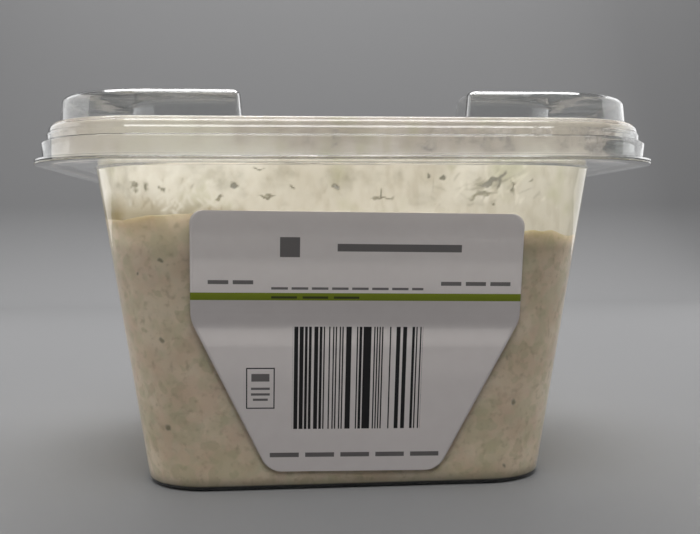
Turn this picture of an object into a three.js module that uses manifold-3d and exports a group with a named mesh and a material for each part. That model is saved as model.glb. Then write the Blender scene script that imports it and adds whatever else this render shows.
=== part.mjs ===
// A square deli tub of coleslaw in clear PET, shut with a clear press-on lid that has four hollow
// stacking lugs, and with a paper label on the front wall.
// Millimetres, +Z up. The origin is the middle of the underside, and -Y is the front.

import * as THREE from "three";
import { mergeVertices } from "three/addons/utils/BufferGeometryUtils.js";
import Module from "manifold-3d";

// ---- Driving dimensions ----

const arcSteps = 6; // facets round each corner of the square plan

const tub = {
  baseHalf: 54.2, // half width of the body where its walls would meet the table
  draft: 0.143, // half width gained for each mm of height
  baseRadius: 17.3, // corner radius at the table
  radiusGain: 0.074, // corner radius gained for each mm of height
  fillet: 1.6, // between the walls and the floor
  wall: 0.6,
  shelf: 84.6, // height of the underside of the flange
  flange: 0.5, // thickness of the flange
  rimHalf: 75.9, // upright rim that the lid is pressed over
  rimTop: 93.4,
  puntHalf: 45, // raised middle of the floor, so that the tub rests on a ring
  puntRadius: 14,
  puntRise: 1,
  puntRun: 1.5, // slope at the punt's edge
};

const flange = { half: 80, radius: 29 };

const lid = {
  wall: 0.5,
  bottom: 85.35, // underside of the lid's own flange
  skirtHalf: 77.9, // just above the flange
  skirtTop: 89.9,
  skirtTopHalf: 78.3,
  step: 0.4, // rounded top edge of the skirt
  groove: 0.2, // pulled in between the skirt and the bead
  beadHalf: 77, // bead that holds the lid on the rim
  crestHalf: 74.3,
  crest: 95.1,
  panel: 91, // top of the sunk middle panel
  panelHalf: 70.4,
  panelRadius: 22,
};

const lug = {
  outerHalf: 74.3,
  innerHalf: 56, // clears the base of the next tub
  outerRadius: 25.2,
  innerRadius: 18,
  end: 26.6, // from the middle of a side to the end of a lug
  tipRadius: 3,
  top: 101.6,
  topFillet: 1.6,
  draft: 0.09, // horizontal inset for each mm of height, on every side
};

const salad = {
  gap: 0.3, // to the tub
  bottom: 2,
  level: 69.3, // mean height of the top
  fall: 0.035, // the heap is higher on the left
  clump: 2.2, // height of the clumps on top
  waves: [
    // crossed waves of the clumps: share of the height, mm for each radian along x and y
    [0.45, 7.3, 8.1],
    [0.33, 15, -12],
    [0.22, -4.1, 5.2],
  ],
  around: 44, // facets round the heap
  rings: 13, // from the wall to the middle of the top
};

const label = {
  gap: 0.15,
  thick: 0.2,
  middle: 0.6, // the label sits a little right of the middle of the front
  tilt: -0.9, // degrees
  half: 42.1,
  top: 73.3, // along the sloping wall from the table
  waist: 45.6, // below this the sides slant in
  footHalf: 22.4,
  foot: 4.95,
  cornerCut: 3,
  waistCut: 5,
};

// ---- Helpers ----

const quarter = Math.PI / 2;

// A square with rounded corners at one height, anticlockwise from the front right corner.
function squareLoop(half, radius, z) {
  const loop = [];
  const centre = half - radius;
  const signs = [
    [1, -1],
    [1, 1],
    [-1, 1],
    [-1, -1],
  ];
  signs.forEach(([sx, sy], corner) => {
    for (let i = 0; i <= arcSteps; i++) {
      const angle = (corner - 1 + i / arcSteps) * quarter;
      loop.push([
        sx * centre + radius * Math.cos(angle),
        sy * centre + radius * Math.sin(angle),
        z,
      ]);
    }
  });
  return loop;
}

// Joins loops of equal length in order, and closes both ends with the triangles in caps,
// which index one loop. The loops run from the bottom of the solid to its top.
function loft(loops, caps) {
  const count = loops[0].length;
  const index = [];
  for (let row = 0; row + 1 < loops.length; row++) {
    for (let i = 0; i < count; i++) {
      const a = row * count + i;
      const b = row * count + ((i + 1) % count);
      index.push(a, b, b + count, a, b + count, a + count);
    }
  }
  const last = (loops.length - 1) * count;
  for (const [a, b, c] of caps) {
    index.push(a, c, b);
    index.push(last + a, last + b, last + c);
  }
  const geometry = new THREE.BufferGeometry();
  geometry.setAttribute(
    "position",
    new THREE.Float32BufferAttribute(loops.flat(2), 3),
  );
  geometry.setIndex(index);
  geometry.computeVertexNormals();
  return geometry;
}

// The triangles that fill one loop, seen from above.
function fill(loop) {
  const points = loop.map(([x, y]) => new THREE.Vector2(x, y));
  return THREE.ShapeUtils.triangulateShape(points, []);
}

function loftSquares(rows) {
  const loops = rows.map(([half, radius, z]) => squareLoop(half, radius, z));
  return loft(loops, fill(loops[0]));
}

const wasm = await Module();
wasm.setup();

function toSolid(geometry) {
  const bare = geometry.clone();
  bare.deleteAttribute("normal");
  const merged = mergeVertices(bare, 1e-4);
  return new wasm.Manifold(
    new wasm.Mesh({
      numProp: 3,
      vertProperties: merged.attributes.position.array,
      triVerts: new Uint32Array(merged.index.array),
    }),
  );
}

function toGeometry(solid) {
  const mesh = solid.getMesh();
  const geometry = new THREE.BufferGeometry();
  geometry.setAttribute(
    "position",
    new THREE.BufferAttribute(mesh.vertProperties, mesh.numProp),
  );
  geometry.setIndex(new THREE.BufferAttribute(mesh.triVerts, 1));
  geometry.computeVertexNormals();
  return geometry;
}

// ---- Tub ----

const bodyHalf = (z) => tub.baseHalf + tub.draft * z;
const bodyRadius = (z) => tub.baseRadius + tub.radiusGain * z;

// The body's wall set in by a distance: half width, corner radius and height.
const bodyRow = (z, inset) => [bodyHalf(z) - inset, bodyRadius(z) - inset, z];

// The round between floor and wall, from the floor up, where the floor is at a height.
function filletRows(floor, inset) {
  const rows = [];
  for (const turn of [0, 0.35, 0.7, 1]) {
    const z = floor + tub.fillet * (1 - Math.cos(turn * quarter));
    rows.push(bodyRow(z, inset + tub.fillet * (1 - Math.sin(turn * quarter))));
  }
  return rows;
}

// One closed profile: up the outside, over the rim and down the inside to the floor.
function tubGeometry() {
  const flangeTop = tub.shelf + tub.flange;
  const rimRadius = flange.radius - (flange.half - tub.rimHalf);
  const puntTop = tub.puntHalf - tub.puntRun;
  const outside = [
    [puntTop, tub.puntRadius, tub.puntRise],
    [tub.puntHalf, tub.puntRadius, 0],
    ...filletRows(0, 0),
    bodyRow(tub.shelf, 0),
    [flange.half, flange.radius, tub.shelf],
    [flange.half, flange.radius, flangeTop],
    [tub.rimHalf + 0.2, rimRadius, flangeTop],
    [tub.rimHalf, rimRadius, tub.rimTop - 0.2],
    [tub.rimHalf - 0.2, rimRadius, tub.rimTop],
  ];
  const inside = [
    [tub.rimHalf - tub.wall, rimRadius - tub.wall, tub.rimTop - 0.1],
    [tub.rimHalf - tub.wall, rimRadius - tub.wall, flangeTop],
    bodyRow(flangeTop, tub.wall),
    ...filletRows(tub.wall, tub.wall).reverse(),
    [tub.puntHalf, tub.puntRadius, tub.wall],
    [puntTop, tub.puntRadius, tub.puntRise + tub.wall],
  ];
  return loftSquares([...outside, ...inside]);
}

// ---- Lid ----

// The lid's skin from the flange up over the bead and down into the sunk panel, set in by
// a distance towards the inside of the lid.
function lidRows(inset) {
  const radiusAt = (half) => flange.radius - (flange.half - half);
  const row = (half, z) => [half - inset, radiusAt(half - inset), z];
  const panelEdge = lid.panelHalf + inset;
  return [
    row(lid.skirtHalf, lid.bottom + lid.wall),
    row(lid.skirtTopHalf, lid.skirtTop),
    row(lid.skirtTopHalf - lid.step, lid.skirtTop + lid.step),
    row(lid.beadHalf - lid.groove / 2, lid.skirtTop + 1.5 * lid.step),
    row(lid.beadHalf - lid.groove, lid.crest - 3.4),
    row(lid.beadHalf, lid.crest - 2.8),
    row(lid.beadHalf - 0.7, lid.crest - 1.2),
    row(lid.crestHalf + 1, lid.crest - 0.3 - inset),
    row(lid.crestHalf + inset, lid.crest - inset),
    [panelEdge + 2, lid.panelRadius + 2, lid.crest - 1 - inset],
    [panelEdge + 0.6, lid.panelRadius + 0.6, lid.panel + 0.6 - inset],
    [panelEdge, lid.panelRadius, lid.panel - inset],
  ];
}

// An L-shaped ring sector round the front right corner, anticlockwise.
function lugLoop(inset, z) {
  const outer = lug.outerHalf - inset;
  const inner = lug.innerHalf + inset;
  const end = lug.end + inset;
  const tip = Math.max(lug.tipRadius - inset, 1);
  const outerRadius = lug.outerRadius - inset;
  const innerRadius = lug.innerRadius + inset;
  // centre, first angle and last angle in quarter turns, and radius
  const arcs = [
    [end + tip, tip - outer, 2, 3, tip],
    [outer - outerRadius, outerRadius - outer, -1, 0, outerRadius],
    [outer - tip, -end - tip, 0, 1, tip],
    [inner + tip, -end - tip, 1, 2, tip],
    [inner - innerRadius, innerRadius - inner, 0, -1, innerRadius],
    [end + tip, -inner - tip, 1, 2, tip],
  ];
  const steps = arcSteps - 1;
  const loop = [];
  for (const [x, y, from, to, radius] of arcs) {
    for (let i = 0; i <= steps; i++) {
      const angle = (from + ((to - from) * i) / steps) * quarter;
      loop.push([x + radius * Math.cos(angle), y + radius * Math.sin(angle), z]);
    }
  }
  return loop;
}

// One lug, hollow side or outside, on the corner that a number of quarter turns gives.
function lugSolid(inset, bottom, turns) {
  const drafted = (z) => lug.draft * (z - lid.panel);
  const shoulder = lug.top - inset - lug.topFillet;
  const loops = [
    lugLoop(inset, bottom),
    lugLoop(inset + drafted(shoulder), shoulder),
  ];
  for (const turn of [0.4, 0.7, 1]) {
    const side = lug.topFillet * (1 - Math.cos(turn * quarter));
    const rise = lug.topFillet * Math.sin(turn * quarter);
    loops.push(lugLoop(inset + drafted(shoulder) + side, shoulder + rise));
  }
  const geometry = loft(loops, fill(loops[0]));
  return toSolid(geometry.rotateZ(turns * quarter));
}

function lidGeometry() {
  const outline = [
    [flange.half, flange.radius, lid.bottom],
    [flange.half, flange.radius, lid.bottom + lid.wall],
  ];
  const below = lid.bottom - 1;
  const mouthHalf = lid.skirtHalf - lid.wall;
  const mouthRadius = flange.radius - (flange.half - mouthHalf);
  let outside = toSolid(loftSquares([...outline, ...lidRows(0)]));
  let inside = toSolid(
    loftSquares([[mouthHalf, mouthRadius, below], ...lidRows(lid.wall)]),
  );
  for (let turns = 0; turns < 4; turns++) {
    outside = outside.add(lugSolid(0, lid.panel - lid.wall / 2, turns));
    inside = inside.add(lugSolid(lid.wall, lid.panel - 2 * lid.wall, turns));
  }
  return toGeometry(outside.subtract(inside));
}

// ---- Coleslaw ----

// Height of the top of the heap: a fall to the right, and clumps from crossed waves.
function saladTop(x, y) {
  let waves = 0;
  for (const [share, alongX, alongY] of salad.waves) {
    waves += share * Math.sin(x / alongX + y / alongY);
  }
  return salad.level - salad.fall * x + salad.clump * waves;
}

// The outline of squareLoop, walked in equal steps.
function saladRing(half, radius, count) {
  const outline = squareLoop(half, radius, 0).map(
    ([x, y]) => new THREE.Vector3(x, y, 0),
  );
  const curve = new THREE.CurvePath();
  outline.forEach((point, i) => {
    const next = outline[(i + 1) % outline.length];
    curve.add(new THREE.LineCurve3(point, next));
  });
  const ring = [];
  for (let i = 0; i < count; i++) ring.push(curve.getPointAt(i / count));
  return ring;
}

function saladGeometry() {
  const inset = tub.wall + salad.gap;
  const wallRows = [salad.bottom, salad.bottom + 1.2, 6, 22, 38, 54];
  const loops = wallRows.map((z) => {
    const lift = Math.max(0, tub.fillet + tub.wall + salad.gap - z);
    const [half, radius] = bodyRow(z, inset + lift);
    return saladRing(half, radius, salad.around).map((p) => [p.x, p.y, z]);
  });
  const [topHalf, topRadius] = bodyRow(salad.level, inset);
  const edge = saladRing(topHalf, topRadius, salad.around);
  for (let ring = 0; ring < salad.rings; ring++) {
    const share = 1 - ring / salad.rings;
    loops.push(
      edge.map((p) => {
        const z = saladTop(p.x * share, p.y * share);
        // the edge ring leans with the wall
        const lean = ring === 0 ? 1 + (tub.draft * (z - salad.level)) / topHalf : 1;
        return [p.x * share * lean, p.y * share * lean, z];
      }),
    );
  }
  return loft(loops, fill(loops[0]));
}

// ---- Label ----

// A polygon whose corners are rounded with curves that start at each corner's cut distance.
function roundedShape(corners) {
  const shape = new THREE.Shape();
  corners.forEach(([x, y, cut], i) => {
    const here = new THREE.Vector2(x, y);
    const before = new THREE.Vector2(...corners.at(i - 1));
    const after = new THREE.Vector2(...corners[(i + 1) % corners.length]);
    const start = before.sub(here).setLength(cut).add(here);
    const end = after.sub(here).setLength(cut).add(here);
    if (i === 0) shape.moveTo(start.x, start.y);
    else shape.lineTo(start.x, start.y);
    shape.quadraticCurveTo(x, y, end.x, end.y);
  });
  shape.closePath();
  return shape;
}

// Modelled flat, with its outside along +Z, round the point where the label is centred.
function labelGeometry() {
  const outline = roundedShape([
    [label.half, label.top, label.cornerCut],
    [-label.half, label.top, label.cornerCut],
    [-label.half, label.waist, label.waistCut],
    [-label.footHalf, label.foot, label.cornerCut],
    [label.footHalf, label.foot, label.cornerCut],
    [label.half, label.waist, label.waistCut],
  ]);
  return new THREE.ExtrudeGeometry(outline, {
    depth: label.thick,
    bevelEnabled: false,
    curveSegments: 4,
  });
}

// ---- Materials and meshes ----

const clearPet = new THREE.MeshStandardMaterial({
  color: 0xdfe3e2,
  roughness: 0.08,
  metalness: 0,
  transparent: true,
  opacity: 0.3,
});
const clearLid = clearPet.clone();
const cabbage = new THREE.MeshStandardMaterial({
  color: 0xd8d0b4,
  roughness: 0.45,
  metalness: 0,
});
const paper = new THREE.MeshStandardMaterial({
  color: 0xe9e5e2,
  roughness: 0.55,
  metalness: 0,
});

function part(name, geometry, material) {
  const mesh = new THREE.Mesh(geometry, material);
  mesh.name = name;
  return mesh;
}

const pack = new THREE.Group();
pack.add(part("tub", tubGeometry(), clearPet));
pack.add(part("lid", lidGeometry(), clearLid));
pack.add(part("coleslaw", saladGeometry(), cabbage));

// The label stands on the front wall: its own frame turns from flat to the wall's lean.
const wallFrame = new THREE.Group();
wallFrame.position.set(0, -tub.baseHalf, 0);
wallFrame.rotation.x = quarter + Math.atan(tub.draft);
const paperLabel = part("label", labelGeometry(), paper);
paperLabel.position.set(label.middle, 0, label.gap);
paperLabel.rotation.z = THREE.MathUtils.degToRad(label.tilt);
wallFrame.add(paperLabel);
pack.add(wallFrame);

export default pack;
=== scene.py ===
# A square deli tub of coleslaw under a clear pressed-on lid, with a paper label on its front wall.
# Sizes are in millimetres until a mesh is made. +Z is up and -Y is the front.
import itertools
import math

import bpy
import numpy as np
from mathutils import Matrix


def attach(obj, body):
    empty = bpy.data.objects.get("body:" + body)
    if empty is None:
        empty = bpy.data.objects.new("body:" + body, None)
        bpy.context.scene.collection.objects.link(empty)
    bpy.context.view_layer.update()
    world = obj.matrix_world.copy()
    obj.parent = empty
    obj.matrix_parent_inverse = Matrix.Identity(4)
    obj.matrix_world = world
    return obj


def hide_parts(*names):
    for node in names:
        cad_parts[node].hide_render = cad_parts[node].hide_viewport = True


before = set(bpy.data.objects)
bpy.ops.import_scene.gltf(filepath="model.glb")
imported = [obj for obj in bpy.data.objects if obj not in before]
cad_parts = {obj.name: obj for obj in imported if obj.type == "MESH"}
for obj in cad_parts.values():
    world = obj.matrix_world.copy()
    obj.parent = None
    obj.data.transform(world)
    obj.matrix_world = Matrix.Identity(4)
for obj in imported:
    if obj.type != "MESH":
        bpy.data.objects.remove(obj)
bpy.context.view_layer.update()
mm = 0.001
quarter = math.pi / 2


def linear(hexColour):
    # sRGB hex to linear light: a straight toe up to 0.04045, a power of 2.4 above it
    parts = np.array([int(hexColour[i:i + 2], 16) for i in (1, 3, 5)]) / 255
    curve = np.where(parts <= 0.04045, parts / 12.92, ((parts + 0.055) / 1.055) ** 2.4)
    return (*curve.tolist(), 1.0)


def addNode(tree, kind, values):
    # kind is the node's own name without ShaderNode in front. Each value goes to the input of that
    # name or number, or else to the node's own property, and a node or a socket is linked.
    node = tree.nodes.new("ShaderNode" + kind)
    for key, value in values.items():
        if isinstance(value, bpy.types.Node):
            value = value.outputs[0]
        if isinstance(value, bpy.types.NodeSocket):
            tree.links.new(value, node.inputs[key])
        elif isinstance(key, str) and hasattr(node, key):
            setattr(node, key, value)
        else:
            node.inputs[key].default_value = value
    return node


def newMaterial(name):
    # an empty material, its tree, and the place on the object in metres, which its patterns read
    material = bpy.data.materials.new(name)
    material.use_nodes = True
    tree = material.node_tree
    tree.nodes.clear()
    return material, tree, addNode(tree, "TexCoord", {}).outputs["Object"]


def layered(tree, colour, patterns, tints):
    # Lays tints over a colour one after another. A row is a pattern's name and the tint: the pattern
    # is then the tint's share. With four numbers between them, the share steps smoothly from the
    # third to the fourth as the pattern goes from the first to the second. A name in the place of a
    # number is another pattern.
    for name, *step, tint in tints:
        mask = patterns[name]
        if step:
            ends = {place: patterns.get(value, value) for place, value in enumerate(step, 1)}
            mask = addNode(tree, "MapRange", {"interpolation_type": "SMOOTHSTEP", 0: mask, **ends})
        mixed = addNode(tree, "Mix", {"data_type": "RGBA", 0: mask, 6: colour, 7: linear(tint)})
        colour = mixed.outputs[2]
    return colour


def letLampsThrough(tree, shader, share, tint):
    # lamps shine on through a thin layer, dimmed to a share of each colour
    path = addNode(tree, "LightPath", {})
    clear = addNode(tree, "BsdfTransparent", {"Color": [share * c for c in tint] + [1]})
    return addNode(tree, "MixShader", {0: path.outputs["Is Shadow Ray"], 1: shader, 2: clear})


def cloud(points, size, seed):
    # value noise from -1 to 1: random numbers on a cubic lattice, blended smoothly between corners
    side = 48
    lattice = np.random.default_rng(seed).uniform(-1, 1, (side, side, side))
    cell = np.asarray(points, float) / size + 900.5
    base = np.floor(cell).astype(int)
    blend = cell - base
    blend = blend * blend * (3 - 2 * blend)
    total = 0
    for corner in itertools.product((0, 1), repeat=3):
        weight = np.prod(np.where(corner, blend, 1 - blend), -1)
        x, y, z = np.moveaxis((base + corner) % side, -1, 0)
        total = total + weight * lattice[x, y, z]
    return total


def makeObject(name, points, faces, material, sharpAngle=None):
    # points in mm, and faces as arrays of corner numbers, one array for each kind of polygon
    mesh = bpy.data.meshes.new(name)
    corners = np.concatenate([f.ravel() for f in faces]).astype(np.int32)
    sides = np.concatenate([np.full(len(f), f.shape[1]) for f in faces])
    mesh.vertices.add(len(points))
    mesh.vertices.foreach_set("co", (np.asarray(points, float) * mm).astype(np.float32).ravel())
    mesh.loops.add(len(corners))
    mesh.loops.foreach_set("vertex_index", corners)
    mesh.polygons.add(len(sides))
    mesh.polygons.foreach_set("loop_start", (np.cumsum(sides) - sides).astype(np.int32))
    mesh.update(calc_edges=True)
    mesh.validate()
    mesh.shade_smooth()
    if sharpAngle:
        mesh.set_sharp_from_angle(angle=math.radians(sharpAngle))
    if material:
        mesh.materials.append(material)
    piece = bpy.data.objects.new(name, mesh)
    bpy.context.scene.collection.objects.link(piece)
    return piece


def addPiece(piece, node):
    # a piece rides on the only body and stands in for a node of the CAD model
    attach(piece, "root")
    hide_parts(node)


def setNumber(piece, name, values):
    # a number for each vertex, which a material can read
    layer = piece.data.attributes.new(name, "FLOAT", "POINT")
    layer.data.foreach_set("value", np.asarray(values, np.float32).ravel())


def squarePath(perCorner, perSide):
    # A rounded square is A * (half - radius) + B * radius: A walks round a square while B turns at
    # its corners. It runs anticlockwise from the front right corner.
    signs = np.array([(1, -1), (1, 1), (-1, 1), (-1, -1)], float)
    walk, outward = [], []
    for k in range(4):
        angle = (k - 1 + np.arange(perCorner) / perCorner) * quarter
        walk.append(np.repeat(signs[[k]], perCorner, 0))
        outward.append(np.stack([np.cos(angle), np.sin(angle)], 1))
        step = (np.arange(perSide) / perSide)[:, None]
        walk.append(signs[k] * (1 - step) + signs[(k + 1) % 4] * step)
        outward.append(np.repeat([[math.cos(k * quarter), math.sin(k * quarter)]], perSide, 0))
    return np.concatenate(walk), np.concatenate(outward)


def squareDepth(x, y, half, radius):
    # distance in from the outline of a rounded square, below 0 outside it
    dx, dy = abs(x) - half + radius, abs(y) - half + radius
    return radius - np.hypot(np.maximum(dx, 0), np.maximum(dy, 0)) - np.minimum(np.maximum(dx, dy), 0)


def squareRings(rows, path):
    # each row of half width, radius and height becomes one ring of points
    walk, outward = path
    half, radius, height = np.asarray(rows, float).T
    flat = (half - radius)[:, None, None] * walk + radius[:, None, None] * outward
    tall = np.broadcast_to(height[:, None, None], (*flat.shape[:2], 1))
    return np.concatenate([flat, tall], -1)


def ringFaces(rowCount, count):
    # quads between neighbouring rings, facing out where the rings rise
    here = np.arange(rowCount - 1)[:, None] * count + np.arange(count)
    following = np.arange(rowCount - 1)[:, None] * count + (np.arange(count) + 1) % count
    return np.stack([here, following, following + count, here + count], -1).reshape(-1, 4)


def gridFaces(rowCount, count):
    # quads of an open grid, row by row
    here = (np.arange(rowCount - 1)[:, None] * count + np.arange(count - 1)).ravel()
    return np.stack([here, here + 1, here + count + 1, here + count], 1)


def rise(x, start, stop):
    # 0 on the near side of start, 1 past stop, and a straight slope between them
    return np.clip((x - start) / (stop - start), 0, 1)


def bells(x, rows):
    # a sum of bell curves, each with a middle, a spread and a height
    return sum(tall * np.exp(-(((x - middle) / wide) ** 2)) for middle, wide, tall in rows)


def loft(rings):
    # points and faces of a closed body: rings from the first to the last, each end shut at a pole
    rowCount, count = rings.shape[:2]
    last = (rowCount - 1) * count
    points = np.concatenate([rings.reshape(-1, 3), rings[[0, -1]].mean(1)])
    here = np.arange(count)
    following = (here + 1) % count
    first = np.stack([following, here, np.full(count, last + count)], 1)
    end = np.stack([last + here, last + following, np.full(count, last + count + 1)], 1)
    return points, [ringFaces(rowCount, count), first, end]


def roundCorners(profile, steps=5):
    # profile rows are half width, radius, height and cut: a corner with a cut becomes a parabola
    # that starts and ends at that distance from it, or at 0.45 of a shorter side
    rows = [np.array(profile[0][:3], float)]
    for before, here, after in zip(profile, profile[1:], profile[2:]):
        p, q, r = (np.array(row[:3], float) for row in (before, here, after))
        back, ahead = p - q, r - q
        cut = min(here[3], 0.45 * np.linalg.norm(back), 0.45 * np.linalg.norm(ahead))
        start = q + back / np.linalg.norm(back) * cut
        end = q + ahead / np.linalg.norm(ahead) * cut
        for t in np.linspace(0, 1, steps + 1):
            rows.append((1 - t) ** 2 * start + 2 * t * (1 - t) * q + t * t * end)
    rows.append(np.array(profile[-1][:3], float))
    return rows


def refine(rows, longest):
    # adds evenly spaced rows where two rows lie further apart than the longest step
    made = [rows[0]]
    for before, after in zip(rows, rows[1:]):
        count = max(1, math.ceil(np.linalg.norm(after - before) / longest))
        made.extend(before + (after - before) * i / count for i in range(1, count + 1))
    return np.array(made)


# the camera looks at the front from a little to the left, level with the fill line
camera = {
    "place": (-19.65, -288.56, 67.75),
    "yaw": 4.81,  # degrees to the right of straight ahead
    "pitch": 2.275,  # degrees down
    "roll": -0.293,
    "lens": 46.29,  # mm
    "sensor": 36,  # mm wide
    "clip": (0.01, 20),  # metres
}


def makeCamera():
    # the view axis from yaw and pitch, then a roll about it
    yaw, pitch, roll = (math.radians(camera[key]) for key in ("yaw", "pitch", "roll"))
    level = math.cos(pitch)
    ahead = np.array([math.sin(yaw) * level, math.cos(yaw) * level, -math.sin(pitch)])
    right = np.array([math.cos(yaw), -math.sin(yaw), 0])
    up = np.cross(right, ahead)
    rolledRight = math.cos(roll) * right + math.sin(roll) * up
    rolledUp = math.cos(roll) * up - math.sin(roll) * right
    turn = Matrix(np.column_stack([rolledRight, rolledUp, -ahead]).tolist()).to_4x4()
    data = bpy.data.cameras.new("camera")
    data.lens, data.sensor_width = camera["lens"], camera["sensor"]
    data.clip_start, data.clip_end = camera["clip"]
    made = bpy.data.objects.new("camera", data)
    made.matrix_world = Matrix.Translation([v * mm for v in camera["place"]]) @ turn
    bpy.context.scene.collection.objects.link(made)
    bpy.context.scene.camera = made


makeCamera()
print("camera placed")


# the stage: a pale board that curves up behind, with a key light above and behind
stage = {
    "front": -900,
    "curve": 530,  # where the board starts to curve up
    "radius": 95,
    "top": 900,
    "halfWidth": 1600,
    "colour": "#909091",
    "mottle": 166.7,  # mm
    "dim": 0.97,  # the mottle's darker parts against the colour
    "air": (1.0, 0.995, 0.985, 1),  # colour of the light from all round, in linear light
    "airStrength": 0.15,
}
# soft boxes: place, aim and size in mm, and power in watts
lamps = {
    "keyAboveBehind": ((30, 480, 760), (30, 479, 0), (800, 560), 7.1),
    "ceilingInFront": ((-30, -480, 1080), (0, -54, 50), (800, 500), 5.95),
    "sideLeft": ((-640, 180, 230), (-100, -160, 80), (800, 500), 1.3),
    "sideRight": ((640, 180, 230), (100, -160, 80), (800, 500), 1.32),
}


def makeSweep():
    # the profile is a straight floor, a quarter circle and a straight wall, carried along X
    floorY = np.linspace(stage["front"], stage["curve"], 12)
    angle = np.linspace(0, quarter, 25)[1:]
    curveY = stage["curve"] + stage["radius"] * np.sin(angle)
    curveZ = stage["radius"] * (1 - np.cos(angle))
    y = np.concatenate([floorY, curveY, curveY[-1:]])
    z = np.concatenate([0 * floorY, curveZ, [stage["top"]]])
    x = np.array([-1, 1]) * stage["halfWidth"]
    grid = np.stack(np.broadcast_arrays(x[None, :], y[:, None], z[:, None]), -1)
    # flat emulsion paint: no shine, a faint mottle
    board, tree, place = newMaterial("mattPaintedBoard")
    scale = 1 / (stage["mottle"] * mm)
    mottle = addNode(tree, "TexNoise", {"Scale": scale, "Detail": 3, "Vector": place})
    dim = [c * stage["dim"] for c in linear(stage["colour"])[:3]] + [1]
    colour = layered(tree, dim, {"mottle": mottle}, [("mottle", stage["colour"])])
    finish = {"Roughness": 0.9, "Specular IOR Level": 0.1, "Base Color": colour}
    paint = addNode(tree, "BsdfPrincipled", finish)
    addNode(tree, "OutputMaterial", {"Surface": paint})
    makeObject("sweep", grid.reshape(-1, 3), [gridFaces(len(y), 2)], board)


def makeLight(name, place, aim, size, power):
    # a soft box whose back points away from what it is aimed at
    data = bpy.data.lights.new(name, "AREA")
    data.shape = "RECTANGLE"
    data.size, data.size_y = (v * mm for v in size)
    data.energy = power
    lamp = bpy.data.objects.new(name, data)
    place = np.array(place, float)
    back = (place - aim) / np.linalg.norm(place - aim)
    side = np.cross([0, 0, 1], back)
    side = side / np.linalg.norm(side)
    turn = Matrix(np.column_stack([side, np.cross(back, side), back]).tolist()).to_4x4()
    lamp.matrix_world = Matrix.Translation(place * mm) @ turn
    bpy.context.scene.collection.objects.link(lamp)


def makeStage():
    # the board, the soft boxes and a dim grey room round them
    makeSweep()
    for name, lamp in lamps.items():
        makeLight(name, *lamp)
    world = bpy.data.worlds.new("greyRoom")
    world.use_nodes = True
    background = world.node_tree.nodes["Background"]
    background.inputs["Color"].default_value = stage["air"]
    background.inputs["Strength"].default_value = stage["airStrength"]
    bpy.context.scene.world = world
    bpy.context.scene.view_settings.view_transform = "Standard"


makeStage()
print("stage lit")


# the sheet that the tub and the lid are formed from
clearPet = {
    "ior": 1.57,
    "roughness": 0.035,
    "waves": 9,  # mm, size of the mould's slow waves
    "waveStrength": 0.35,
    "milk": "#f2f2f0",
    "through": (0.95, 0.955, 0.95),  # share of a lamp's red, green and blue that one wall lets on
}


def clearSheet(name, look):
    # PET sheet, vacuum formed: clear and glossy, with slow waves from the mould that break up
    # reflections and a faint milky haze; lamps shine through it
    material, tree, place = newMaterial(name)
    scale = 1 / (clearPet["waves"] * mm)
    slow = addNode(tree, "TexNoise", {"Scale": scale, "Detail": 1, "Vector": place})
    bump = addNode(tree, "Bump", {
        "Strength": clearPet["waveStrength"],
        "Distance": look["wave"] * mm,
        "Height": slow,
    })
    glass = addNode(tree, "BsdfPrincipled", {
        "Base Color": linear(look["tint"]),
        "Roughness": clearPet["roughness"],
        "IOR": clearPet["ior"],
        "Transmission Weight": 1.0,
        "Normal": bump,
    })
    milk = addNode(tree, "BsdfDiffuse", {"Color": linear(clearPet["milk"])})
    cloudy = addNode(tree, "MixShader", {0: look["haze"], 1: glass, 2: milk})
    clear = letLampsThrough(tree, cloudy, 1, clearPet["through"])
    addNode(tree, "OutputMaterial", {"Surface": clear})
    return material


tub = {
    "baseHalf": 54.2,
    "draft": 0.143,  # half width gained for each mm of height
    "baseRadius": 17.3,
    "radiusGain": 0.074,
    "fillet": 1.6,
    "wall": 0.6,
    "shelf": 84.6,  # underside of the flange
    "flange": 0.5,
    "rimHalf": 75.9,
    "rimTop": 93.4,
    "puntHalf": 45,  # raised middle of the floor
    "puntRadius": 14,
    "puntRise": 1,
    "puntRun": 1.5,
    "tint": "#fdfefd",
    "haze": 0.02,
    "wave": 0.03,  # mm
}
flange = {"half": 80, "radius": 29}
poleRing = (3, 1)  # half width and radius of the small ring before a flat end is shut
sheetPath = squarePath(14, 24)  # points round each corner and along each side


def bodyHalf(z):
    # half width of the tub's outside, which grows evenly with height
    return tub["baseHalf"] + tub["draft"] * z


def bodyRadius(z):
    # corner radius of the tub's outside, which grows evenly too
    return tub["baseRadius"] + tub["radiusGain"] * z


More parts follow.
